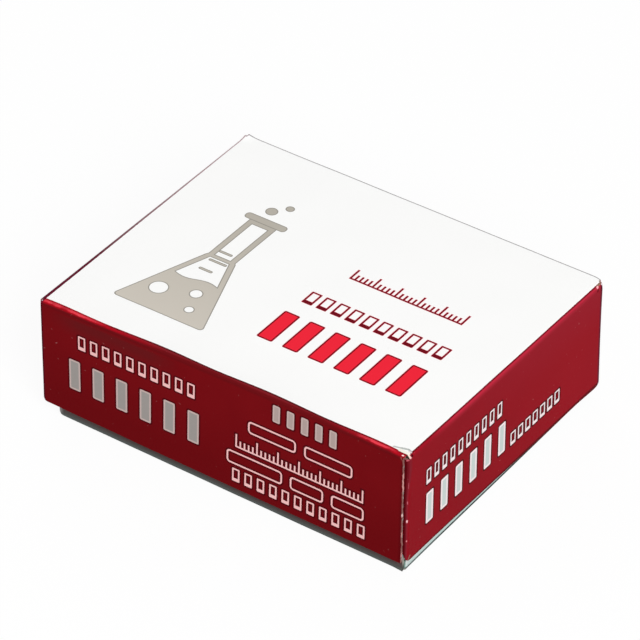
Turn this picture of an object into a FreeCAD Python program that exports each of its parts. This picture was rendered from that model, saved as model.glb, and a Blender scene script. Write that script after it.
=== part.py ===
import FreeCAD, Part
import math
import os

from FreeCAD import Vector

# A box of microscope slides: a folded paperboard tray that holds one row of glass slides on
# their long edges, and a folded paperboard lid that slips down over the tray.
# All sizes are in millimetres. The origin is under the middle of the lid, on the plane that
# the tray stands on, with +X along the slides, +Y along the row and +Z up.

# The slides.
slide_length = 76.2
slide_height = 25.4
slide_thickness = 1.2
slide_count = 50
slide_gap = 0.03  # air between neighbours in the row
slide_bevel = 0.2  # ground bevel along every edge
slide_play = 0.3  # how far a slide may slip endways from the middle of the tray
row_play = 0.4  # at each end of the row, between the last slide and the tabs

# The board that the tray and the lid are both folded from.
board = 0.5  # thickness
fold_inner_radius = 0.4  # inside radius of every fold
wall_setback = 0.15  # from a corner fold to the raw end of the long wall beside it
tab_length = 11.0  # glue tab inside a long wall, from the face of the end wall
tab_rim_gap = 1.0  # from the rim to the edge of a tab beside its fold
tab_taper = 2.5  # how much further from the rim the tab's edge is at its tip
rim_corner = 1.2  # rounding of the walls' free corners at the rim

# How the lid goes over the tray.
head_room = 0.4  # above the slides, under the lid
tray_reveal = 3.2  # height of the tray that shows below the lid
lid_side_play = 0.15  # at each long wall, between the lid's tabs and the tray
lid_end_play = 1.4  # at each end wall, with the lid in the middle of its play
tray_shift = 0.9  # how far the tray stands towards +X from the middle of the lid

# What follows from them.
fold_outer_radius = fold_inner_radius + board
end_clearance = fold_inner_radius - slide_bevel + slide_play  # keeps the slides off the folds
slide_pitch = slide_thickness + slide_gap
row_length = slide_count * slide_pitch - slide_gap
tray_length = slide_length + 2 * (end_clearance + board)
tray_width = row_length + 2 * (row_play + 2 * board)
tray_height = board + slide_height + head_room
lid_length = tray_length + 2 * (lid_end_play + board)
lid_width = tray_width + 2 * (lid_side_play + 2 * board)
lid_top = tray_height + board
lid_height = lid_top - tray_reveal

beyond = 2 * board  # how far each cut runs past the faces that it opens
tiny = 1e-6  # two places or directions nearer than this are the same
slip_step = 2.4  # radians between the slips of neighbouring slides


def box_between(low, high):
    """Box between its lowest and its highest corner."""
    size = high - low
    return Part.makeBox(size.x, size.y, size.z, low)


def prism(outline, run):
    """Solid swept straight along run from a closed outline of points."""
    wire = Part.makePolygon(outline + outline[:1])
    return Part.Face(wire).extrude(run)


def runs_along(edge, axis):
    """True for a straight edge parallel to an axis."""
    return edge.tangentAt(edge.FirstParameter).cross(axis).Length < tiny


def is_below(edge, level):
    """True for an edge whose middle is lower than a level."""
    return edge.CenterOfMass.z < level - tiny


def end_wall_block(half_length, half_width, depth):
    """Outside of the end walls with their tabs: all edges are folds, apart from the rim."""
    block = box_between(Vector(-half_length, -half_width, 0), Vector(half_length, half_width, depth))
    folds = [edge for edge in block.Edges if is_below(edge, depth)]
    return block.makeFillet(fold_outer_radius, folds)


def long_wall_block(half_length, half_width, depth):
    """Outside of the long walls: a fold at the foot, raw ends, and rounded free corners."""
    along_x = Vector(1, 0, 0)
    along_y = Vector(0, 1, 0)
    block = box_between(Vector(-half_length, -half_width, 0), Vector(half_length, half_width, depth))
    folds = [edge for edge in block.Edges if runs_along(edge, along_x) and is_below(edge, depth)]
    block = block.makeFillet(fold_outer_radius, folds)
    corners = [edge for edge in block.Edges if runs_along(edge, along_y) and not is_below(edge, depth)]
    return block.makeFillet(rim_corner, corners)


def room_between_end_walls(half_length, half_width, depth):
    """Hollow from end wall to end wall, as wide as the tabs leave it."""
    along_x = Vector(1, 0, 0)
    room = box_between(
        Vector(-half_length, -half_width, board), Vector(half_length, half_width, depth + beyond)
    )
    folds = [edge for edge in room.Edges if not runs_along(edge, along_x) and is_below(edge, depth)]
    return room.makeFillet(fold_inner_radius, folds)


def room_between_tab_tips(half_length, half_width, depth):
    """Hollow from long wall to long wall, as long as the tabs leave it."""
    along_x = Vector(1, 0, 0)
    room = box_between(
        Vector(-half_length, -half_width, board), Vector(half_length, half_width, depth + beyond)
    )
    folds = [edge for edge in room.Edges if runs_along(edge, along_x) and is_below(edge, depth)]
    return room.makeFillet(fold_inner_radius, folds)


def rim_cuts_at_corner(half_length, half_width, raw_end, depth):
    """What the blank lacks at the rim of one corner: above the tab, and off the end wall."""
    tab_rim = depth - tab_rim_gap
    tab_face = half_width - 2 * board
    tab_tip = half_length - tab_length
    slope = tab_taper / (raw_end - tab_tip)
    over_tab = prism(
        [
            Vector(raw_end, tab_face - beyond, tab_rim),
            Vector(tab_tip - beyond, tab_face - beyond, tab_rim - tab_taper - beyond * slope),
            Vector(tab_tip - beyond, tab_face - beyond, depth + beyond),
            Vector(raw_end, tab_face - beyond, depth + beyond),
        ],
        Vector(0, board + beyond, 0),
    )
    off_end_wall = prism(
        [
            Vector(raw_end, half_width + beyond, tab_rim),
            Vector(raw_end, tab_face, tab_rim),
            Vector(raw_end, tab_face - rim_corner, depth),
            Vector(raw_end, tab_face - rim_corner, depth + beyond),
            Vector(raw_end, half_width + beyond, depth + beyond),
        ],
        Vector(half_length + beyond - raw_end, 0, 0),
    )
    return [over_tab, off_end_wall]


def folded_carton(length, width, depth):
    """Open carton folded from one blank, floor down, with its end walls' tabs glued inside."""
    half_length = length / 2
    half_width = width / 2
    raw_end = half_length - fold_outer_radius - wall_setback
    outside = end_wall_block(half_length, half_width - board, depth).fuse(
        long_wall_block(raw_end, half_width, depth)
    )
    cuts = [
        room_between_end_walls(half_length - board, half_width - 2 * board, depth),
        room_between_tab_tips(half_length - tab_length, half_width - board, depth),
    ]
    centre = Vector(0, 0, 0)
    for cut in rim_cuts_at_corner(half_length, half_width, raw_end, depth):
        across = cut.mirror(centre, Vector(0, 1, 0))
        cuts += [cut, across]
        cuts += [cut.mirror(centre, Vector(1, 0, 0)), across.mirror(centre, Vector(1, 0, 0))]
    return outside.cut(cuts).removeSplitter()


def make_tray():
    """The tray stands on its floor, off the middle of the lid."""
    tray = folded_carton(tray_length, tray_width, tray_height)
    tray.translate(Vector(tray_shift, 0, 0))
    return tray


def make_lid():
    """The lid is the same kind of carton upside down, and its top rests on the tray's rim."""
    lid = folded_carton(lid_length, lid_width, lid_height)
    lid.rotate(Vector(0, 0, 0), Vector(1, 0, 0), 180)
    lid.translate(Vector(0, 0, lid_top))
    return lid


def make_slide(index):
    """One glass slide on its long edge, at its place in the row, slipped a little endways."""
    size = Vector(slide_length, slide_thickness, slide_height)
    slide = Part.makeBox(size.x, size.y, size.z)
    slide = slide.makeChamfer(slide_bevel, slide.Edges)
    slip = slide_play * math.sin(slip_step * index)
    x = tray_shift + slip - slide_length / 2
    y = index * slide_pitch - row_length / 2
    slide.translate(Vector(x, y, board))
    return slide


os.makedirs("parts", exist_ok=True)
make_tray().exportStep("parts/tray.step")
make_lid().exportStep("parts/lid.step")
for index in range(slide_count):
    make_slide(index).exportStep(f"parts/slide_{index + 1:02d}.step")
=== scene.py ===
import math

import bmesh
import bpy
from mathutils import Matrix, Vector, noise


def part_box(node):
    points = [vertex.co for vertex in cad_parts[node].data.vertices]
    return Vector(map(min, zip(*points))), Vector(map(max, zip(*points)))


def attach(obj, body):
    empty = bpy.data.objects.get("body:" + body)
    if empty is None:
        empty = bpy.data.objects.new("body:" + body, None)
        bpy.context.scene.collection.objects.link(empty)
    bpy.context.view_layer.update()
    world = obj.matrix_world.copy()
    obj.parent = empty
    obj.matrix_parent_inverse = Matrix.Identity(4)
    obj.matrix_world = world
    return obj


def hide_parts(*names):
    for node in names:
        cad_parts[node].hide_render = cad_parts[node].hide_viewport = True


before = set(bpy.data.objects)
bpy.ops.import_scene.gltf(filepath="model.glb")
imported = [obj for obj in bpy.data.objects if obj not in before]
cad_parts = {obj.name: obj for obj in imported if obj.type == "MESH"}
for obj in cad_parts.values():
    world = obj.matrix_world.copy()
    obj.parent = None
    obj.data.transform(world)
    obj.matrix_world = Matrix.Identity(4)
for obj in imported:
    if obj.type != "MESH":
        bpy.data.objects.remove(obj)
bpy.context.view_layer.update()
mm = 0.001

# The tray is one blank of white-faced board, creased and folded up into a floor and four walls.
# Its end walls carry glue tabs that are stuck inside the long walls, whose ends stay raw.
# Only its foot shows below the lid, and its bare board has a faint fibre and a greenish cast.
board = 0.5
tray_fold = 0.6  # outside radius of the tray's folds
wall_setback = 0.08  # from a corner fold to the raw end of the long wall beside it
tab_length = 11.0
tab_rim_gap = 1.0  # from the rim to the edge of a tab beside its fold
tab_taper = 2.5  # how much further from the rim the tab's edge is at its tip
fold_drop, tab_drop = 0.4, 0.12  # shares by which a tab's edge drops round its fold, and along it
glue_line = 0.03  # between a tab and the wall that it is stuck to
rim_play = 0.2  # how far the tray's rims stay short of the lid's inside
tray_corner = 1.2  # rounding of the tray's free corners
corner_slit = 0.25  # how far a corner slit stays clear of the fold beside it
foot_ends = ((1.4, 0.0), (0.3, 0.45))  # rounding and reach of its long walls' ends, left and right
foot_stretch = 4.0  # the length of a long wall over which its end is shaped
rim_band = 2.4  # the band along the rims that has the finer mesh
layer_apart = 2.0  # keeps the grain of the board's back apart from that of its face
tiny = 1e-6
sharp_angle = math.radians(38)
long_lean, end_lean = 0.12, 0.15  # how far the tray's walls lean in at their middle
left_lift, far_lift, right_push = 0.11, 0.1, 0.03  # how unevenly the tray stands
tray_knock = Vector((0.1, -0.2, 0))  # how its near corner is pushed out
board_roughness, board_gloss = 0.78, 0.25
tray_face_colour = (226, 230, 228)
tray_fibre_colour = (188, 194, 190)
tray_core_colour = (188, 186, 174)
tray_core_fibre = (120, 112, 98)
# Painted shade along the tray's foot: darker under the lid's rim and along the fold at the floor.
end_foot_shades = [(1.75, 1.45, (200, 222, 218)), (0.98, 0.84, (26, 40, 36))]
long_foot_shades = [(3.7, 2.7, (76, 40, 38)), (2.4, 1.0, (80, 79, 77)), (1.1, 0.3, (93, 100, 97))]
raw_edge_foot_shades = [(2.6, 1.3, (56, 60, 54))]
tray_low, tray_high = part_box("tray")
lid_low, lid_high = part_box("lid")


def linear(colour):
    """A colour given as red, green and blue out of 255, as the shader takes it."""
    shares = [value / 255 for value in colour]
    curved = [share / 12.92 if share < 0.04045 else ((share + 0.055) / 1.055) ** 2.4 for share in shares]
    return (*curved, 1.0)


class Wire:
    """A value on its way through a finish: a sum on wires adds the nodes that work it out."""

    def __init__(self, tree, socket=None):
        self.tree = tree
        self.socket = socket

    def node(self, kind, settings=None, sockets=None, output=0):
        """Any node: its settings are set first, then the values or links of its sockets."""
        made = self.tree.nodes.new("ShaderNode" + kind)
        for name, value in (settings or {}).items():
            setattr(made, name, value)
        for name, value in (sockets or {}).items():
            if isinstance(value, Wire):
                self.tree.links.new(value.socket, made.inputs[name])
            else:
                made.inputs[name].default_value = value
        return Wire(self.tree, made.outputs[output] if made.outputs else None)

    def maths(self, operation, *values):
        return self.node("Math", {"operation": operation}, dict(enumerate(values)))

    def __add__(self, other):
        return self.maths("ADD", self, other)

    def __radd__(self, other):
        return self.maths("ADD", other, self)

    def __sub__(self, other):
        return self.maths("SUBTRACT", self, other)

    def __rsub__(self, other):
        return self.maths("SUBTRACT", other, self)

    def __mul__(self, other):
        return self.maths("MULTIPLY", self, other)

    def __rmul__(self, other):
        return self.maths("MULTIPLY", other, self)

    def __truediv__(self, other):
        return self.maths("DIVIDE", self, other)

    def __mod__(self, other):
        return self.maths("FLOORED_MODULO", self, other)

    def __abs__(self):
        return self.maths("ABSOLUTE", self)

    def above(self, other):
        return self.maths("MAXIMUM", self, other)

    def below(self, other):
        return self.maths("MINIMUM", self, other)

    def share(self):
        """Kept between 0 and 1."""
        return self.node("Clamp", None, {"Value": self})


def new_finish(name):
    """A finish with no nodes yet, and the wire that its first nodes are added from."""
    made = bpy.data.materials.new(name)
    made.use_nodes = True
    made.node_tree.nodes.clear()
    return made, Wire(made.node_tree)


def put_on(start, sockets):
    """Close a finish with one plain surface shader."""
    shader = start.node("BsdfPrincipled", None, sockets)
    start.node("OutputMaterial", None, {"Surface": shader})


def mixed(factor, under, over):
    """One colour over another."""
    return factor.node("Mix", {"data_type": "RGBA"}, {0: factor, 6: under, 7: over}, 2)


def toned(colour, share, tone):
    """A colour with this share of a tone laid over it."""
    return mixed(share, colour, linear(tone))


def grain(place, scale, detail=2.0, roughness=0.5):
    """Even cloudy noise around 0.5, with about `scale` lumps to the millimetre."""
    settings = {"Vector": place, "Scale": scale, "Detail": detail, "Roughness": roughness}
    return place.node("TexNoise", None, settings)


def step(value, start, end):
    """0 up to one value, 1 from another on, and straight in between."""
    return ((value - start) / (end - start)).share()


def inside(distance, blur):
    """1 inside an outline and 0 outside it, across an edge of this blur."""
    return (0.5 - distance / blur).share()


def sheet_place(start):
    """Where a spot lies on the flat blank, in millimetres from its middle."""
    return start.node("Attribute", {"attribute_name": "sheet"}, None, "Vector")


def on_axis(place, axis):
    """One of the three numbers of a place."""
    return place.node("SeparateXYZ", None, {0: place}, axis)


def bumps(height, depth):
    """A relief from a height between 0 and 1, this many millimetres deep."""
    return height.node("Bump", None, {"Height": height, "Distance": depth * mm})


def disc(x, y, middle_x, middle_y, radius):
    """How far outside a disc a spot lies."""
    across, up = x - middle_x, y - middle_y
    return across.maths("SQRT", across * across + up * up) - radius


def stroke(x, y, start, end, width):
    """How far outside a straight stroke with round ends a spot lies."""
    along = Vector(end) - Vector(start)
    from_x, from_y = x - start[0], y - start[1]
    share = ((from_x * along.x + from_y * along.y) / along.length_squared).share()
    return disc(from_x - share * along.x, from_y - share * along.y, 0, 0, width / 2)


def worn_and_shaded(colour, x, y, wear_and_shade, blur, fuzz=0.0):
    """A colour under strokes of wear and painted shade, each given by its start, its end, its
    width and its tone.
    """
    for start_spot, end_spot, width, tone in wear_and_shade:
        distance = stroke(x, y, start_spot, end_spot, width) + fuzz
        colour = toned(colour, inside(distance, blur), tone)
    return colour


def painted_foot_shade(plain, x, y, cloud, foot):
    """A tray's board with painted shade along its foot, which ends under its folds.

    foot gives the panel's half sizes, and the painted shades of the end walls and of the long
    walls from the highest: each starts at one height and is full at another. The end walls'
    shades are a little weaker near the front, and the long walls' are weak at their left end."""
    half_length, half_width, end_shades, long_shades = foot
    past_end, past_long = abs(x) - half_length, abs(y) - half_width
    height = past_end.above(past_long) + (cloud - 0.5) * 0.15
    on_ends = step(past_end - past_long, -0.05, 0.05)
    on_ends = on_ends * (0.8 + 0.2 * step(y, 3 - half_width, 16 - half_width))
    on_longs = step(past_long - past_end, -0.05, 0.05)
    on_longs = on_longs * (0.35 + 0.6 * step(x, 0.7 - half_length, 1.7 - half_length))
    on_longs = on_longs * (1 + 0.053 * step(half_length - abs(x), 2, 11))
    colour = plain
    for on_side, shades in ((on_ends, end_shades), (on_longs, long_shades)):
        for top, full, tone in shades:
            colour = toned(colour, step(height, top, full) * on_side, tone)
    return mixed(step(height, -0.3, -0.6), colour, plain)


def bare_board(name, face, fibre, relief=0.02, lumps=2.2, foot=None, slit=None, wear_and_shade=()):
    """Unprinted board: short flecks of fibre in a slightly cloudy face.

    slit gives where the edges beside a corner slit lie, and their tone."""
    made, start = new_finish(name)
    place = sheet_place(start)
    x, y = on_axis(place, "X"), on_axis(place, "Y")
    cloud = grain(place, 0.25)
    flecks = step(grain(place, lumps, 4.0, 0.7), 0.52, 0.72)
    colour = mixed(flecks * 0.55 + cloud * 0.3, linear(face), linear(fibre))
    if slit:
        beside, below, tone = slit
        in_slit = step(x, beside, beside + 0.1) * step(abs(y), below, below - 0.1)
        colour = toned(colour, in_slit, tone)
    # Painted shade along the tray's foot.
    if foot:
        colour = painted_foot_shade(colour, x, y, cloud, foot)
    look = {
        "Base Color": worn_and_shaded(colour, x, y, wear_and_shade, 0.3),
        "Roughness": board_roughness,
        "Specular IOR Level": board_gloss,
        "Normal": bumps(grain(place, 5.0, 3.0), relief),
    }
    put_on(start, look)
    return made


def spread(*stops):
    """Lines across a blank: each stop gives where a stretch starts and the widest step in it."""
    lines = []
    for (start, widest), (end, _) in zip(stops, stops[1:]):
        count = math.ceil((end - start) / widest - tiny)
        lines += [start + (end - start) * i / count for i in range(count)]
    lines.append(stops[-1][0])
    return [-line for line in reversed(lines[1:])] + lines


def over_fold(place, half, fold, inset):
    """How far out, and how far round the fold, a spot of the board comes when it is folded."""
    start = half - fold
    if place <= start:
        return place, inset
    if place >= half + fold:
        return half - inset, place - half
    turn = (place - start) / (2 * fold) * math.pi / 2
    radius = fold - inset
    return start + radius * math.sin(turn), fold - radius * math.cos(turn)


def corner_round(room, radius):
    """How much a rounded corner takes off, this far from the corner's side."""
    if room >= radius:
        return 0.0
    return radius - math.sqrt(radius**2 - (radius - max(room, 0.0)) ** 2)


def fold_carton(name, half_sizes, depth, fold, feet, trim, bend, finishes):
    """One blank, folded: a panel, four walls and four tabs, as a closed sheet of board.

    fold is the folds' outside radius, and feet gives how far the left and the right ends of the
    long walls are rounded beside the panel, and how far they reach beyond its slits.
    trim(side, place) gives how much a wall's rim is cut back. bend(point, flat_x, flat_y) moves
    a folded spot a little, whose z is its depth behind the panel's outer face and whose place on
    the flat blank is flat_x and flat_y."""
    half_length, half_width = half_sizes
    raw_end = half_length - fold - wall_setback
    end_wall, long_wall = half_length + fold, half_width + fold
    tab_line = half_width - board - glue_line
    slit = tab_line - fold + corner_slit
    columns = spread(
        (0, 1.7),
        (raw_end - 5, 0.5),
        (raw_end - 1.2, 0.2),
        (raw_end, 0.2),
        (half_length - fold, 0.225),
        (end_wall, 0.5),
        (end_wall + 2, 1.6),
        (half_length + depth - rim_band, 0.4),
        (half_length + depth, 1),
    )
    rows = spread(
        (0, 1.7),
        (tab_line - fold - 4, 0.5),
        (tab_line - fold - 0.5, 0.25),
        (tab_line - fold, 0.25),
        (slit, 0.25),
        (half_width - fold, 0.22),
        (tab_line + fold, 0.25),
        (long_wall, 0.6),
        (tab_line + tab_length, 0.8),
        (half_width + depth - rim_band, 0.4),
        (half_width + depth, 1),
    )

    def side_of(flat_x, flat_y):
        """The part of the blank that holds this spot, or None where it is cut away."""
        out, across = abs(flat_x), abs(flat_y)
        if out < raw_end:
            if across < long_wall:
                return "panel"
            return "front" if flat_y < 0 else "back"
        if out < end_wall:
            return "panel" if across < slit else None
        if across > tab_line + tab_length:
            return None
        return "left" if flat_x < 0 else "right"

    def trimmed(flat_x, flat_y):
        """The spot on the blank after its rims and its raw ends are cut to their outline."""
        out, across = abs(flat_x), abs(flat_y)
        rounding, reach = feet[0 if flat_x < 0 else 1]
        if out <= raw_end + tiny and across > slit + tiny:
            share = max(0.0, out - (raw_end - foot_stretch)) / foot_stretch
            out -= corner_round(across - half_width, rounding) * share
            out += min(max(across - half_width + fold, 0.0) / fold, 1.0) * reach * share
        if abs(flat_x) <= raw_end + tiny and across > long_wall - tiny:
            rim = depth - fold - trim("front" if flat_y < 0 else "back", flat_x)
            across = long_wall + (across - long_wall) * rim / (depth - fold)
        elif out > end_wall:
            tab = max(0.0, across - (tab_line - fold))
            top_cut = min(tab, fold) * fold_drop + tab * tab_drop
            rim = depth - fold - trim("left" if flat_x < 0 else "right", flat_y)
            out = end_wall + top_cut + (out - end_wall) * (rim - top_cut) / (depth - fold)
        return math.copysign(out, flat_x), math.copysign(across, flat_y)

    def folded(flat_x, flat_y, inset, lengthways):
        """The spot in the folded carton, this deep in the board."""
        out, across = abs(flat_x), abs(flat_y)
        if lengthways:
            across, down = over_fold(across, half_width, fold, inset)
        else:
            on_wall = out >= end_wall - tiny
            out, down = over_fold(out, half_length, fold, inset)
            if on_wall:
                across, back = over_fold(across, tab_line, fold, inset)
                out = half_length - back
        return Vector((math.copysign(out, flat_x), math.copysign(across, flat_y), down))

    mesh = bmesh.new()
    sheet = mesh.verts.layers.float_vector.new("sheet")
    corners = {}

    def corner(column, row, layer):
        """The vertex at a crossing of the blank's lines, on its face or on its back."""
        key = (column, row, layer)
        if key not in corners:
            flat_x, flat_y = trimmed(columns[column], rows[row])
            lengthways = abs(columns[column]) <= raw_end + tiny
            point = bend(folded(flat_x, flat_y, layer * board, lengthways), flat_x, flat_y)
            corners[key] = mesh.verts.new(point * mm)
            corners[key][sheet] = (flat_x, flat_y, layer_apart * layer)
        return corners[key]

    sides = {}
    for column in range(len(columns) - 1):
        for row in range(len(rows) - 1):
            middle_x = (columns[column] + columns[column + 1]) / 2
            middle_y = (rows[row] + rows[row + 1]) / 2
            side = side_of(middle_x, middle_y)
            if side:
                sides[column, row] = side
    slots = list(finishes)
    for (column, row), side in sides.items():
        ring = [(column, row), (column + 1, row), (column + 1, row + 1), (column, row + 1)]
        face = mesh.faces.new([corner(*spot, 0) for spot in ring])
        face.material_index = slots.index(side if side in slots else "face")
        back = mesh.faces.new([corner(*spot, 1) for spot in reversed(ring)])
        back.material_index = slots.index("back_face")
        beside = [(column, row - 1), (column + 1, row), (column, row + 1), (column - 1, row)]
        for neighbour, start, end in zip(beside, ring, ring[1:] + ring[:1]):
            if neighbour not in sides:
                around = [corner(*end, 0), corner(*start, 0), corner(*start, 1), corner(*end, 1)]
                edge = mesh.faces.new(around)
                edge.material_index = slots.index("raw_edge")
    bmesh.ops.recalc_face_normals(mesh, faces=mesh.faces)
    data = bpy.data.meshes.new(name)
    mesh.to_mesh(data)
    mesh.free()
    data.shade_smooth()
    data.set_sharp_from_angle(angle=sharp_angle)
    for slot in slots:
        data.materials.append(finishes[slot])
    piece = bpy.data.objects.new(name, data)
    bpy.context.scene.collection.objects.link(piece)
    return piece


def ripple(point, size, height):
    """A gentle unevenness, the same for the face and the back of the board."""
    return height * noise.noise(Vector((point.x, point.y, point.z)) / size)


tray_half_length = (tray_high.x - tray_low.x) / 2 / mm
tray_half_width = (tray_high.y - tray_low.y) / 2 / mm
tray_depth = (tray_high.z - tray_low.z) / mm
tray_middle = (tray_high + tray_low) / 2 / mm


def tray_trim(side, place):
    """The tray's rims: rounded corners on the long walls, and slanted tabs on the end walls."""
    if side in ("front", "back"):
        room = tray_half_length - tray_fold - wall_setback - abs(place)
        return corner_round(room, tray_corner) + rim_play
    past = abs(place) - (tray_half_width - board - tray_fold - tray_corner)
    slant = min(max(past, 0.0) / tray_corner, 1.0) * tab_rim_gap
    return slant + max(past - tray_corner, 0.0) * tab_taper / tab_length + rim_play


def tray_bend(point, flat_x, flat_y):
    """Stand the tray on its floor, a little uneven, with its walls leaning in a hair."""
    height = point.z / tray_depth
    from_ends = 1 - (point.x / tray_half_length) ** 2
    from_longs = 1 - (point.y / tray_half_width) ** 2
    if abs(flat_y) > tray_half_width and abs(flat_x) < tray_half_length:
        point.y -= math.copysign(long_lean * from_ends * height, flat_y)
    if abs(flat_x) > tray_half_length:
        point.x -= math.copysign(end_lean * from_longs * height, flat_x)
    point.z += abs(ripple(point, 14, 0.05)) * (1 - height)
    lengthways = point.x / tray_half_length
    widthways = point.y / tray_half_width
    point.z += left_lift * max(0.0, 0.4 - lengthways) * (1 - widthways)
    point.x += right_push * (1 - widthways) * max(0.0, lengthways)
    point.z += far_lift * max(0.0, lengthways) * max(0.0, widthways)
    near_corner = max(0.0, (lengthways - 0.94) / 0.06) * max(0.0, -widthways) ** 8
    point += near_corner * tray_knock
    return point + Vector((tray_middle.x, tray_middle.y, 0))


# Painted shade at the tray's near corner: a dark crevice, and darker board round its fold and by its
# foot.
tray_corner_shade = [
    ((42.2, -31.2), (41.3, -31.8), 0.6, (46, 42, 40)),
    ((41.1, -31.8), (40.2, -31.85), 0.8, (104, 130, 120)),
    ((38.1, -32.75), (38.8, -32.95), 0.5, (92, 98, 92)),
]
tray_foot_shading = (tray_half_length, tray_half_width, end_foot_shades, long_foot_shades)
raw_edge_foot_shading = (tray_half_length, tray_half_width, [], raw_edge_foot_shades)
tray_finishes = {
    "face": bare_board("tray_face", tray_face_colour, tray_fibre_colour, foot=tray_foot_shading, wear_and_shade=tray_corner_shade),
    "back_face": bare_board("tray_inside", tray_face_colour, tray_fibre_colour),
    "raw_edge": bare_board("tray_edge", tray_core_colour, tray_core_fibre, 0.08, 4.0, foot=raw_edge_foot_shading),
}
tray = fold_carton(
    "tray_board",
    (tray_half_length, tray_half_width),
    tray_depth,
    tray_fold,
    foot_ends,
    tray_trim,
    tray_bend,
    tray_finishes,
)
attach(tray, "tray_with_slides")
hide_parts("tray")

# The slides are cut from drawn soda-lime glass. Their broad faces are clear, their edges are
# ground to a fine matt, and one end is frosted on both faces so that a pencil writes on it.
frosted_length = 20.0
frost_cover = 0.88  # how much of the clear glass the frost and the ground edges hide
ground_roughness, glass_roughness, glass_bending = 0.62, 0.02, 1.52
glass_tint = (236, 247, 243)
ground_colour = (205, 224, 216)
ground_shade = (150, 184, 174)
frost_colour = (232, 238, 236)


def slide_glass():
    """Clear glass, with ground edges and a frosted end."""
    made, start = new_finish("slide_glass")
    place = start.node("TexCoord", None, None, "Object")
    place = start.node("VectorMath", {"operation": "SCALE"}, {0: place, "Scale": 1 / mm})
    facing = start.node("TexCoord", None, None, "Normal")
    broad = step(abs(on_axis(facing, "Y")), 0.8, 0.95)
    frost_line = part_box("slide_01")[1].x / mm - frosted_length
    frosted = step(on_axis(place, "X"), frost_line, frost_line + 0.1) * broad
    grit = grain(place, 6.0, 4.0, 0.7)
    clear_look = {
        "Base Color": linear(glass_tint),
        "Roughness": glass_roughness,
        "IOR": glass_bending,
        "Transmission Weight": 1.0,
    }
    edge_colour = mixed(grit * 0.8, linear(ground_colour), linear(ground_shade))
    matt_look = {
        "Base Color": toned(edge_colour, frosted, frost_colour),
        "Roughness": ground_roughness,
        "Normal": bumps(grit, 0.02),
    }
    clear = start.node("BsdfPrincipled", None, clear_look)
    matt = start.node("BsdfPrincipled", None, matt_look)
    cover = (frosted + (1 - broad)).share() * frost_cover
    surface = start.node("MixShader", None, {0: cover, 1: clear, 2: matt})
    start.node("OutputMaterial", None, {"Surface": surface})
    return made


slide_finish = slide_glass()
for node_name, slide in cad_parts.items():
    if node_name.startswith("slide_"):
        slide.data.materials.clear()
        slide.data.materials.append(slide_finish)

# The lid is the same kind of folded blank, upside down over the tray and a little wider.
# Its outer face is printed and varnished: white on top, deep red on the four walls, with marks
# in silver, white and red. Its back is bare grey board, and its cut ends show a tan core.
# Its colours also hold painted light and shade on the walls, folds and corners.
lid_half_length = (lid_high.x - lid_low.x) / 2 / mm
lid_half_width = (lid_high.y - lid_low.y) / 2 / mm
lid_depth = (lid_high.z - lid_low.z) / mm
lid_top = lid_high.z / mm
lid_fold = 0.65  # outside radius of the lid's folds, which are creased sharper
lid_corner = 0.8  # rounding of its long walls' free corners at the left
lid_right_corner = 0.2  # and at the right
lid_tab_corner = 2.4  # rounding of its end walls' free corners
lid_far_corner = 1.7  # the same for the far corner of the right wall, which is worn
lid_raw_end = lid_half_length - lid_fold - wall_setback
tab_fold = lid_half_width - board - glue_line  # where the end walls turn into their tabs
front_inset, front_sway = 1.26, 0.17  # how far the white stays from the front fold, and its sway
back_over = 0.4  # how far the white runs over the back fold
right_inset, right_turn = 0.5, 0.1  # how far it stays from the right fold, and its slant
left_inset, left_turn = 0.8, 0.25  # the same at the left
print_edge = 0.05  # how sharp the print is
print_rim = 0.36  # the dark rim that the print leaves in the red around a mark
varnish_gloss = 0.012
bow_in, bow_up = 0.5, 0.35  # how far the top's front edge is bowed in and up
foot_splay = 0.6  # how far the right wall stands out at its foot, at the back
front_splay = 0.14  # the same for the front and back walls, in their middle
left_splay = 0.12
white = (255, 255, 254)
# The walls' reds are the one ink painted lit or shaded: the front darkest and darker again low down, the
# right brighter towards the back, and the fold's reds painted shade and sheen.
front_shaded_reds = ((115, 12, 19), (127, 16, 22))
low_shade_red = (111, 11, 17)
other_reds = ((146, 14, 27), (160, 18, 32))
right_reds = ((136, 12, 25), (150, 16, 29))
far_lit_red = (158, 19, 33)
bright_red = (242, 38, 58)
outline_red = (122, 6, 20)
fringe_pink = (222, 66, 88)
fine_red = (110, 6, 22)
dark_red = (84, 6, 14)
fold_shade_red = (103, 16, 21)
sheen_red = (129, 26, 34)
# Painted highlight on the front fold, and painted shade below it.
highlight_red = (188, 13, 32)
highlight_line_red = (230, 64, 78)
under_fold_shade_red = (100, 26, 29)
# Painted shade where the end walls fold round into their tabs, in bands from each start to full.
far_fold_shade = (108, 20, 44)
fold_shade_bands = [(1.05, 0.7, (129, 31, 42)), (0.6, 0.4, (104, 20, 29)), (0.3, 0.15, dark_red)]
# Painted sheen high on the right wall, and a painted highlight on its fold.
wall_sheen_pink = (155, 34, 52)
fold_highlight_pink = (192, 45, 66)
edge_purple = (98, 14, 40)
edge_grey = (200, 172, 176)
# Painted shade on the top's back fold.
back_fold_shade_grey = (150, 146, 148)
scuff_pink = (226, 170, 168)
silver_rim = (150, 146, 137)
# Painted reflection in the silver ink: brighter towards the front of the top, and darker on the front
# wall than on the right.
near_silver_lit, far_silver_dim = (207, 200, 189), (185, 179, 168)
front_print, front_rim = (255, 202, 200), (207, 184, 179)
front_silver_shaded, short_silver = (164, 158, 154), (186, 166, 161)
right_print, right_silver_lit = (255, 240, 241), (208, 219, 216)
torn_tan, torn_shade = (158, 106, 101), (44, 14, 14)
slit_shade = (40, 34, 22)
lid_back_colour = (196, 194, 186)
lid_back_fibre = (150, 146, 136)


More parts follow.
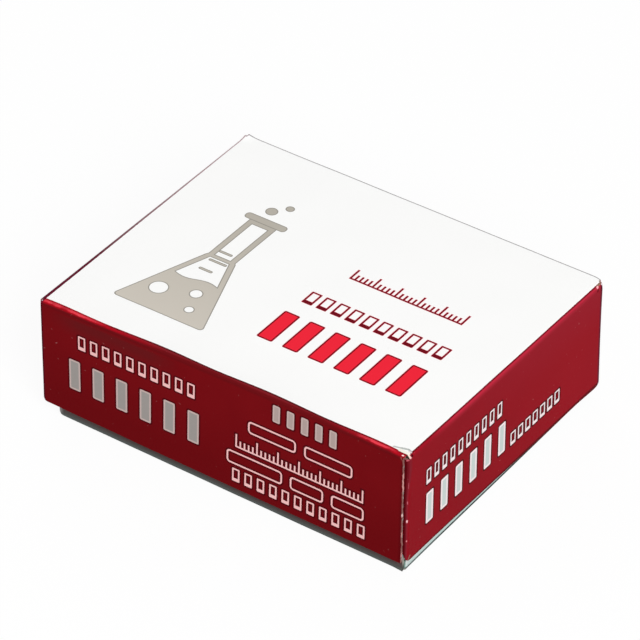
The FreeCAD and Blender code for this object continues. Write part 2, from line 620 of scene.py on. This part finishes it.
def meet(first, second, radius=0.0):
    """Where two edges both hold, with the corner between them rounded: less than 0 inside."""
    first, second = first + radius, second + radius
    past_first, past_second = first.above(0), second.above(0)
    outside = past_first.maths("SQRT", past_first * past_first + past_second * past_second)
    return outside + first.above(second).below(0) - radius


def oblong(x, y, box, radius=0.0):
    """How far outside an oblong a spot lies, from its left, right, low and high sides."""
    left, right, low, high = box
    across = abs(x - (left + right) / 2) - (right - left) / 2
    up = abs(y - (low + high) / 2) - (high - low) / 2
    return meet(across, up, radius)


def outlined(distance, line):
    """The line, this wide, just inside an outline."""
    return abs(distance + line / 2) - line / 2


def bar_row(x, y, box, count, gap, radius=0.3):
    """A row of upright bars that fills an oblong."""
    left, right, low, high = box
    pitch = (right - left + gap) / count
    across = abs((x - (left - gap / 2)) % pitch - pitch / 2) - (pitch - gap) / 2
    up = abs(y - (low + high) / 2) - (high - low) / 2
    return meet(across, up, radius).above(abs(x - (left + right) / 2) - (right - left) / 2)


def slide_row(x, y, box, count, gap=1.1, line=0.34):
    """A row of little slides in outline, each with its frosted end filled in."""
    low, high = box[2:]
    bars = bar_row(x, y, box, count, gap, 0.15)
    frosted_end = bars.above(y - (low + 0.24 * (high - low)))
    return outlined(bars, line).below(frosted_end)


def scale_row(x, y, box, fifths, line=0.34):
    """A ruled scale: a base line, short ticks, and a long tick at every fifth."""
    left, right, low, high = box
    long_pitch = (right - left - line) / fifths
    short_pitch = long_pitch / 5
    from_first = x - (left + line / 2)
    short_ticks = abs((from_first + short_pitch / 2) % short_pitch - short_pitch / 2) - line / 2
    long_ticks = abs((from_first + long_pitch / 2) % long_pitch - long_pitch / 2) - line / 2
    short_top = low + 0.55 * (high - low)
    short_ones = short_ticks.above(y - short_top)
    long_ones = long_ticks.above(y - high)
    ticks = short_ones.below(long_ones).above(low - y)
    ticks = ticks.above(abs(x - (left + right) / 2) - (right - left) / 2)
    return ticks.below(oblong(x, y, (left, right, low, low + line)))


def frame_row(x, y, low, high, sides, line=0.36):
    """Rounded frames in a row, each from its left and right side."""
    frames = [outlined(oblong(x, y, (left, right, low, high), 0.8), line) for left, right in sides]
    row = frames[0]
    for frame_line in frames[1:]:
        row = row.below(frame_line)
    return row


def flask(x, y):
    """A conical flask, part full, with bubbles in it and over its mouth."""
    middle, foot, shoulder, mouth = -20.8, -23.7, -2.6, 10.4
    half_foot, half_neck, half_lip, wall = 10.4, 3.1, 4.7, 1.35
    liquid_level, wave = -11.2, 0.55
    slope = (half_foot - half_neck) / (shoulder - foot)
    steep = 1 / math.sqrt(1 + slope**2)
    aside = abs(x - middle)
    flank = (aside - (half_neck + (shoulder - y) * slope)) * steep
    body = meet(flank, abs(y - (foot + shoulder) / 2) - (shoulder - foot) / 2, 1.1)
    neck = meet(aside - half_neck, abs(y - (shoulder + mouth) / 2 + 0.8) - (mouth - shoulder) / 2 - 0.8)
    lip = oblong(x, y, (middle - half_lip, middle + half_lip, mouth - 0.2, mouth + 1.7), 0.8)
    glass = body.below(neck)
    surface = liquid_level + x.maths("SINE", (x - middle) * 0.62) * wave
    hollow = (glass + wall).above(surface - y)
    for low, reach in ((-8.2, 1.2), (-5.0, 2.2), (-1.8, 1.2)):
        tick = oblong(x, y, (middle - 1.9, middle + reach, low, low + 0.7), 0.3)
        hollow = hollow.above(0 - tick)
    bubbles = disc(x, y, middle - 4.3, -17.2, 1.75)
    bubbles = bubbles.below(disc(x, y, middle + 2.6, -14.9, 1.15))
    bubbles = bubbles.below(disc(x, y, middle + 4.4, -19.6, 0.85))
    whole = glass.above(0 - hollow).above(0 - bubbles).below(lip)
    rising = disc(x, y, middle - 1.1, 14.6, 1.25).below(disc(x, y, middle + 1.3, 17.3, 0.9))
    return whole.below(rising)


def top_marks(sheet_x, sheet_y):
    """The marks on the top, read from the front: a flask, a scale and two rows of slides."""
    bars = bar_row(sheet_x, sheet_y, (-1.75, 29.75, -18.9, -9.6), 6, 2.3, 0.35)
    fine = scale_row(sheet_x, sheet_y, (2.1, 27.0, 5.5, 8.7), 5)
    fine = fine.below(slide_row(sheet_x, sheet_y, (-1.0, 29.75, -5.6, -1.8), 10, 1.0))
    glass = flask(sheet_x, sheet_y)
    return [
        (glass, linear(silver_rim)),
        # Painted reflection: the silver brighter towards the front.
        (glass + 0.2, mixed(step(sheet_y, -24, 12), linear(near_silver_lit), linear(far_silver_dim))),
        (fine.below(bars) - 0.07, linear(fringe_pink)),
        (fine + 0.02, linear(fine_red)),
        (bars, linear(outline_red)),
        (bars + 0.3, linear(bright_red)),
    ]


def front_marks(sheet_x, sheet_y):
    """The marks on the front wall, which hang down from its fold."""
    x, y = sheet_x, sheet_y + lid_half_width
    bars = bar_row(x, y, (-34.0, -4.4, -17.5, -10.6), 6, 2.9)
    short_bars = bar_row(x, y, (11.8, 25.7, -5.0, -1.3), 5, 1.5)
    fine = slide_row(x, y, (-31.8, -5.4, -7.6, -4.5), 10)
    fine = fine.below(frame_row(x, y, -9.9, -7.2, [(6.5, 17.0), (18.8, 29.3)]))
    fine = fine.below(scale_row(x, y, (3.8, 31.8, -14.2, -11.3), 6))
    fine = fine.below(frame_row(x, y, -18.2, -15.3, [(1.9, 14.2), (15.9, 23.2), (24.9, 32.0)]))
    fine = fine.below(slide_row(x, y, (3.2, 32.3, -22.0, -19.1), 11))
    return [
        (fine.below(bars).below(short_bars) - print_rim, linear(dark_red)),
        (fine, linear(front_print)),
        (bars.below(short_bars), linear(front_rim)),
        (bars + 0.36, linear(front_silver_shaded)),
        (short_bars + 0.3, linear(short_silver)),
    ]


def right_marks(sheet_x, sheet_y):
    """The marks on the right wall, read from that side."""
    x, y = sheet_y, lid_half_length - sheet_x
    bars = bar_row(x, y, (-26.6, -0.6, -18.8, -11.9), 6, 2.5)
    fine = slide_row(x, y, (-26.7, -2.0, -9.8, -6.5), 10)
    fine = fine.below(slide_row(x, y, (1.3, 18.1, -19.0, -16.1), 7, 0.8)).below(bars)
    return [
        (fine - print_rim, linear(dark_red)),
        (fine, linear(right_print)),
        (bars + 0.5, linear(right_silver_lit)),
    ]


# Wear and painted shade on the lid, as strokes on its flat blank: where each starts and ends,
# its width, its tone.
# Of these three, the first is wear and the other two are painted shade in the knocked far corner.
torn_front = ((39.6, -33.5), (40.1, -34.3), 0.24, (140, 70, 66))
far_shade = ((42.05, 30.6), (42.15, 30.6), 0.5, (110, 0, 15))
far_line = ((41.6, 31.9), (42.6, 31.9), 0.3, (80, 5, 25))
# On the top, the grey strokes by the near right corner and the darkest spots are painted shade in
# creases and holes; the pale, cream and tan strokes are wear.
top_wear_and_shade = [
    ((-41.0, -32.7), (-40.4, -32.8), 0.5, (244, 214, 222)),
    ((-40.35, 32.2), (-40.15, 33.2), 0.45, (176, 160, 164)),
    ((36.9, -31.6), (38.3, -31.15), 0.4, (196, 199, 196)),
    ((38.3, -31.15), (39.6, -30.75), 0.5, (190, 194, 190)),
    ((39.6, -30.75), (40.3, -30.95), 0.4, (176, 180, 178)),
    ((38.4, -31.75), (40.3, -31.75), 0.7, (246, 243, 230)),
    ((40.0, -31.15), (40.5, -31.15), 0.35, (228, 212, 214)),
    ((39.7, -32.8), (39.8, -32.8), 0.36, (255, 226, 226)),
    ((40.6, -32.1), (41.3, -32.1), 0.4, (236, 214, 200)),
    ((41.5, -31.95), (41.6, -31.95), 0.5, (240, 168, 172)),
    ((41.15, -31.45), (41.25, -31.45), 0.5, (58, 6, 14)),
    torn_front,
    ((40.9, 30.8), (41.0, 31.8), 0.4, (150, 115, 95)),
    ((41.0, 31.8), (40.4, 32.3), 0.35, (150, 115, 95)),
    ((41.15, 30.5), (41.25, 30.5), 0.6, (250, 175, 180)),
    far_shade,
    ((41.35, 32.1), (41.45, 32.1), 0.5, (245, 225, 235)),
    far_line,
    ((40.2, 33.1), (40.9, 32.8), 0.4, (100, 100, 90)),
]
# On the right wall, the pink and tan strokes are wear, and the last two are painted shade.
right_wear_and_shade = [
    ((41.7, -32.6), (41.8, -33.1), 0.35, (186, 84, 96)),
    ((51.0, -32.7), (51.4, -32.7), 0.2, (190, 100, 110)),
    ((55.2, -32.72), (55.5, -32.72), 0.34, (245, 190, 195)),
    ((59.8, -32.72), (59.9, -32.72), 0.28, (215, 130, 136)),
    ((46.8, -32.5), (48.0, -32.6), 0.15, (170, 80, 90)),
    ((63.6, -31.6), (64.2, -32.2), 0.3, (150, 110, 96)),
    far_shade,
    far_line,
]
raw_end_wear = [
    ((lid_raw_end, -37.1), (lid_raw_end, -40.9), 0.2, (226, 168, 162)),
    ((lid_raw_end, -46.2), (lid_raw_end, -46.4), 0.35, (250, 216, 210)),
    ((lid_raw_end, -50.3), (lid_raw_end, -51.3), 0.2, (214, 154, 148)),
    ((lid_raw_end, -54.9), (lid_raw_end, -55.6), 0.25, (220, 160, 156)),
    ((lid_raw_end, 34.3), (lid_raw_end, 57.0), 1.0, (230, 172, 182)),
]


def lit_and_shaded_reds(x, y, cloud, in_front):
    """The walls' reds, painted as lit and shaded copies of one ink: the front darker, and darker
    again towards its foot, the right brighter towards the back, with painted shade over the
    front fold and a painted sheen just under the white.
    """
    from_front, widthways = y + lid_half_width, y / lid_half_width
    other_red = mixed(cloud, *[linear(tone) for tone in other_reds])
    right_red = mixed(cloud, *[linear(tone) for tone in right_reds])
    right_red = toned(right_red, step(widthways, -0.5, 0.7) * 0.7, far_lit_red)
    other_red = mixed(step(x, lid_raw_end + 0.05, lid_raw_end + 0.15), other_red, right_red)
    front_red = mixed(cloud, *[linear(tone) for tone in front_shaded_reds])
    front_red = toned(front_red, step(from_front, -7, -20), low_shade_red)
    red = mixed(in_front, other_red, front_red)
    red = toned(red, step(from_front, -1.0, -0.4) * in_front, fold_shade_red)
    return toned(red, step(from_front, 0.2, 0.7) * in_front, sheen_red)


def front_fold(red, x, y, speckle, streaks, in_front):
    """The front fold, with a painted highlight towards its ends, a frayed bright painted highlight
    line, and painted shade below it.

    It also gives how strong the painted highlight is."""
    lengthways, from_front = x / lid_half_length, y + lid_half_width
    fold_highlight = step(lengthways, -0.3, -0.62).above(step(lengthways, 0.55, 0.9)) * in_front
    fold_highlight = fold_highlight * step(from_front, -0.2, 0.3) * step(streaks, 0.1, 0.4)
    red = toned(red, fold_highlight * 0.85, highlight_red)
    under_fold_shade = step(from_front, -0.8, -1.5) * step(from_front, -5.5, -2.5) * in_front
    under_fold_shade = under_fold_shade * step(abs(lengthways + 0.58), 0.36, 0.2)
    red = toned(red, under_fold_shade * 0.7, under_fold_shade_red)
    lit = step(lengthways, -0.62, -0.76).above(step(abs(lengthways - 0.83), 0.11, 0.05)) * in_front
    frayed = from_front + (streaks - 0.5) * 0.7 + (speckle - 0.5) * 0.5
    lit = lit * step(frayed, 0.2, 0.42) * step(frayed, 1.1, 0.85) * step(streaks, 0.2, 0.45)
    return toned(red, lit, highlight_line_red), fold_highlight


def right_fold(red, x, y):
    """The right wall, with a painted sheen high up towards the back, a pink painted highlight on
    its fold and painted shade along its rim.
    """
    from_right, widthways = x - lid_half_length, y / lid_half_width
    high_sheen = step(from_right, 10, 0) * (widthways * 0.5 + 0.5) * step(from_right, -0.6, 0)
    red = toned(red, high_sheen * 0.5, wall_sheen_pink)
    right_highlight = step(from_right, -0.7, -0.3) * step(from_right, 1.4, 0.0)
    right_highlight = right_highlight * (0.2 + 0.8 * step(widthways, -0.75, -0.5))
    red = toned(red, right_highlight * 0.85, fold_highlight_pink)
    # Painted shade along the rim.
    rim = step(from_right, lid_depth - 0.4, lid_depth - 0.25)
    return toned(red, rim * 0.8, dark_red)


def end_folds(red, x, y):
    """The end walls' round folds into their tabs, with painted shade in bands where they turn
    from the light, purple at the back.
    """
    on_end = step(abs(x), lid_half_length, lid_half_length + 0.5)
    from_fold = (tab_fold + lid_fold - abs(y)) / (1 + step(x - lid_half_length, 9, 3))
    for start_place, full_place, tone in fold_shade_bands:
        red = toned(red, step(from_fold, start_place, full_place) * on_end, tone)
    return toned(red, step(y, tab_fold - 1.25, tab_fold - 0.9) * on_end, far_fold_shade)


def left_fold(red, x, y):
    """The left fold, which fades from purple at the front to grey at the back."""
    edge = mixed(step(y / lid_half_width, -0.5, 0.9), linear(edge_purple), linear(edge_grey))
    on_fold = step(x, 1.2 - lid_half_length, 1.0 - lid_half_length)
    on_fold = on_fold * step(x, -0.9 - lid_half_length, -0.4 - lid_half_length)
    return mixed(on_fold, red, edge)


def front_ends(red, x, y):
    """The front wall painted darker beside its raw ends."""
    left_end = step(x, 0.45 - lid_raw_end, 0.2 - lid_raw_end)
    right_end = step(x, lid_raw_end - 0.9, lid_raw_end - 0.15) * 0.75
    from_front = y + lid_half_width
    return toned(red, left_end.above(right_end) * step(from_front, 0.0, -0.5), dark_red)


def printed_board(name, marks=None, wear_and_shade=()):
    """Coated board with its print: the white top, the red walls, the marks, the wear, and painted
    light and shade on the walls and folds.
    """
    made, start = new_finish(name)
    place = sheet_place(start)
    x, y = on_axis(place, "X"), on_axis(place, "Y")
    cloud = grain(place, 0.12)
    speckle = grain(place, 1.6, 3.0, 0.6)
    streaks = grain(place, 0.32, 2.0, 0.5)

    lengthways, widthways = x / lid_half_length, y / lid_half_width
    wavy = lengthways.maths("COSINE", (lengthways - 0.25) * 10.8)
    past_front = front_inset + front_sway * wavy - (y + lid_half_width)
    past_back = y - (lid_half_width + back_over)
    past_right = x - (lid_half_length - right_inset + right_turn * widthways)
    past_left = (left_inset - left_turn * widthways - lid_half_length) - x
    past_white = past_front.above(past_back).above(past_right).above(past_left)
    past_white = past_white + (speckle - 0.5) * 0.1

    on_top = step(abs(x), lid_half_length - 0.5, lid_half_length - 0.8)
    in_front = step(y, 1.0, 0.0) * on_top
    red, fold_highlight = front_fold(lit_and_shaded_reds(x, y, cloud, in_front), x, y, speckle, streaks, in_front)
    red = front_ends(left_fold(end_folds(right_fold(red, x, y), x, y), x, y), x, y)
    front_line = step(past_front, 0.5, 0.35) * step(past_front, -0.2, 0.0)
    right_line = step(past_right, 0.5, 0.3) * step(past_right, -0.2, 0.0)
    line = front_line * (0.9 - fold_highlight * 0.6) * in_front + right_line * 0.75
    red = toned(red, line.share(), dark_red)
    # Painted shade on the back fold, where it turns from the light.
    back_fold_shade = step(y, lid_half_width - 0.75, lid_half_width - 0.5) * 0.85
    top_tone = mixed(back_fold_shade, linear(white), linear(back_fold_shade_grey))
    colour = mixed(inside(past_white, print_edge), red, top_tone)
    for distance, ink in (marks(x, y) if marks else []):
        colour = mixed(inside(distance, print_edge), colour, ink)

    near_fold = step(abs(abs(y) - lid_half_width).below(abs(abs(x) - lid_half_length)), 1.1, 0.4)
    rubbed = near_fold * step(grain(place, 1.3, 3.0, 0.7), 0.68, 0.76)
    scuffs = step(grain(place, 1.1, 2.0, 0.6), 0.71, 0.77) * 0.2
    on_red = step(past_white, 0.0, 0.3)
    colour = toned(colour, (rubbed * 0.5 + scuffs).share() * on_red, scuff_pink)
    fuzz = (grain(place, 3.5, 4.0, 0.7) - 0.5) * 0.35
    look = {
        "Base Color": worn_and_shaded(colour, x, y, wear_and_shade, 0.15, fuzz),
        "Roughness": 0.36 + 0.12 * speckle,
        "Specular IOR Level": varnish_gloss,
        "Normal": bumps(grain(place, 3.0, 3.0), 0.006),
    }
    put_on(start, look)
    return made


def ramp(value, start, end):
    """0 up to one value, 1 from another on, and straight in between, for plain numbers."""
    return min(max((value - start) / (end - start), 0.0), 1.0)


def lid_trim(side, place):
    """The lid's rims, which run a little uneven, with the end walls' corners cut at a slant."""
    if side in ("front", "back"):
        sway = 0.05 - 0.2 * place / lid_half_length if side == "front" else 0.0
        rounding = lid_corner if place < 0 else lid_right_corner
        waver = 0.06 * noise.noise(Vector((place / 7, 3, 0)))
        return corner_round(lid_raw_end - abs(place), rounding) + sway + waver
    slant = max(abs(place) - tab_fold, 0.0) * tab_taper / tab_length
    if side == "right":
        slant -= 0.3 * ramp(place, -19, 11) + 0.25 * ramp(place, 25, 30)
        if place > 0:
            return corner_round(max(tab_fold - 0.1 - place, 0.0), lid_far_corner) + slant
    return corner_round(max(tab_fold + lid_fold - abs(place), 0.0), lid_tab_corner) * 0.6 + slant


# The knocked corners: each one's sides, how far a knock reaches, where it pushes, its crumpling.
# The crumpling is drawn from a fixed seed, so that every run gives the same lid.
noise.seed_set(2)
knocks = [
    ((1, -1), 2.6, Vector((-0.35, 0.45, 0.45)), 0.25),
    ((1, 1), 2.3, Vector((-0.35, -0.4, 0.35)), 0.2),
    ((-1, 1), 3.6, Vector((-0.12, 0.12, -0.42)), 0.04),
]


def lid_bend(point, flat_x, flat_y):
    """Set the lid over the tray: its top is a little twisted, and its corners are knocked."""
    down = point.z / lid_depth
    on_top = 1 - down
    lengthways = point.x / lid_half_length
    widthways = point.y / lid_half_width
    twist = -0.04 + 0.06 * lengthways + 0.01 * widthways - 0.2 * lengthways * widthways
    point.z -= twist * on_top
    aside = lengthways - 0.25
    bow = max(0.0, 1 - (aside / (1.25 if aside < 0 else 0.86)) ** 2)
    point.y += bow_in * bow * max(0.0, -widthways) ** 6 * on_top
    point.z -= bow_up * bow * max(0.0, -widthways) ** 6 * on_top
    point.x -= 0.15 * (1 - widthways) * max(0.0, lengthways) ** 6 * on_top
    if abs(flat_y) > lid_half_width and abs(flat_x) < lid_half_length:
        point.y += math.copysign(front_splay * (1 - lengthways * lengthways) * down, flat_y)
        if flat_x > lid_raw_end - 0.1:
            point.x += 0.2 * noise.noise(Vector((flat_y * 1.9, flat_x, 7))) - 0.18
    if flat_x > lid_half_length:
        point.x += foot_splay * down**1.5 * max(0.0, (widthways + 0.8) / 1.8)
    if flat_x < -lid_half_length:
        point.x -= left_splay * down * (1 - widthways * widthways)
    point.z -= ripple(point, 11, 0.05) * on_top
    point.y += ripple(point, 9, 0.05) * down
    for (side_x, side_y), reach, push, crumple in knocks:
        corner = Vector((side_x * lid_half_length, side_y * lid_half_width, 0))
        near = max(0.0, 1 - (point - corner).length / reach) ** 2
        if near > 0:
            rough = noise.noise_vector(Vector((flat_x, flat_y, 0)) * 1.1)
            point = point + push * near + rough * crumple * near
    return Vector((point.x, point.y, lid_top - point.z))


raw_slit = (lid_raw_end - 0.3, tab_fold - 0.1, slit_shade)
lid_finishes = {
    "panel": printed_board("lid_top_print", top_marks, top_wear_and_shade),
    "front": printed_board("lid_front_print", front_marks, [torn_front]),
    "right": printed_board("lid_right_print", right_marks, right_wear_and_shade),
    "face": printed_board("lid_wall_print"),
    "back_face": bare_board("lid_back", lid_back_colour, lid_back_fibre),
    "raw_edge": bare_board(
        "lid_edge", torn_tan, torn_shade, 0.08, 2.6, slit=raw_slit, wear_and_shade=raw_end_wear
    ),
}
lid = fold_carton(
    "lid_board",
    (lid_half_length, lid_half_width),
    lid_depth,
    lid_fold,
    ((0.0, 0.0), (0.0, 0.0)),
    lid_trim,
    lid_bend,
    lid_finishes,
)
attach(lid, "lid")
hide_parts("lid")

# The studio: a pale floor, a broad soft lamp over the right-hand side, a weak one behind on the
# left, and an even pale surround. The floor and the surround are plain white to the camera.
floor_size, floor_drop = 6.0, 0.02 * mm
floor_grey, floor_glow = (140, 140, 140), 0.92
ambient_level = 0.26
key_towards, key_distance, key_size, key_share = (0.60, -0.55, 0.60), 2.2, 1.22, 1.145
fill_towards, fill_distance, fill_size, fill_share = (-0.70, 0.60, 0.45), 0.9, 0.7, 0.22
full_white = (1, 1, 1, 1)


def seen_share(start):
    """1 for what the camera sees straight, in gloss or through glass, and 0 for the rest."""
    path = start.node("LightPath", None, None, "Is Camera Ray")
    glossy = start.node("LightPath", None, None, "Is Glossy Ray")
    through = start.node("LightPath", None, None, "Is Transmission Ray")
    return (path + glossy + through).share()


def floor_finish():
    """Pale paper that reads as white, and keeps a faint shadow."""
    made, start = new_finish("studio_floor")
    seen = seen_share(start)
    paper = mixed(seen, linear(floor_grey), full_white)
    diffuse = start.node("BsdfDiffuse", None, {"Color": paper})
    glow = start.node("Emission", None, {"Color": full_white, "Strength": 1.0})
    surface = start.node("MixShader", None, {0: seen * floor_glow, 1: diffuse, 2: glow})
    start.node("OutputMaterial", None, {"Surface": surface})
    return made


bpy.ops.mesh.primitive_plane_add(size=floor_size, location=(0, 0, -floor_drop))
floor = bpy.context.object
floor.name = "studio_floor"
floor.data.materials.append(floor_finish())

world = bpy.data.worlds.new("surround")
world.use_nodes = True
world.node_tree.nodes.clear()
start = Wire(world.node_tree)
ambient = start.node("Background", None, {"Color": full_white, "Strength": ambient_level})
backdrop = start.node("Background", None, {"Color": full_white, "Strength": 1.0})
surface = start.node("MixShader", None, {0: seen_share(start), 1: ambient, 2: backdrop})
start.node("OutputWorld", None, {"Surface": surface})
bpy.context.scene.world = world


def soft_lamp(name, towards, distance, size, share):
    """A square soft lamp that gives a surface facing it this share of full light."""
    lamp = bpy.data.lights.new(name, "AREA")
    lamp.size = size
    lamp.energy = share * math.pi**2 * distance**2
    stand = bpy.data.objects.new(name, lamp)
    stand.location = Vector(towards).normalized() * distance
    stand.rotation_euler = Vector(towards).to_track_quat("Z", "Y").to_euler()
    bpy.context.scene.collection.objects.link(stand)


soft_lamp("key_lamp", key_towards, key_distance, key_size, key_share)
soft_lamp("fill_lamp", fill_towards, fill_distance, fill_size, fill_share)

# The camera looks down on the box from the front and the right, from well back through a long
# lens. It aims at a spot inside the box and is rolled a hair.
view_azimuth = math.radians(34.05)
view_elevation = math.radians(36.92)
view_roll = math.radians(0.944)
view_distance = 733.5 * mm
aim = Vector((-4.93, 6.47, 13.4)) * mm
lens = 218.46
nearest_seen = 0.01

camera_data = bpy.data.cameras.new("camera")
camera_data.lens = lens
camera_data.clip_start = nearest_seen
camera = bpy.data.objects.new("camera", camera_data)
bpy.context.scene.collection.objects.link(camera)
towards_camera = Vector(
    (
        math.sin(view_azimuth) * math.cos(view_elevation),
        -math.cos(view_azimuth) * math.cos(view_elevation),
        math.sin(view_elevation),
    )
)
level = towards_camera.to_track_quat("Z", "Y").to_matrix().to_4x4()
stand_at = Matrix.Translation(aim + towards_camera * view_distance)
camera.matrix_world = stand_at @ level @ Matrix.Rotation(view_roll, 4, "Z")
bpy.context.scene.camera = camera
bpy.context.scene.view_settings.view_transform = "Standard"
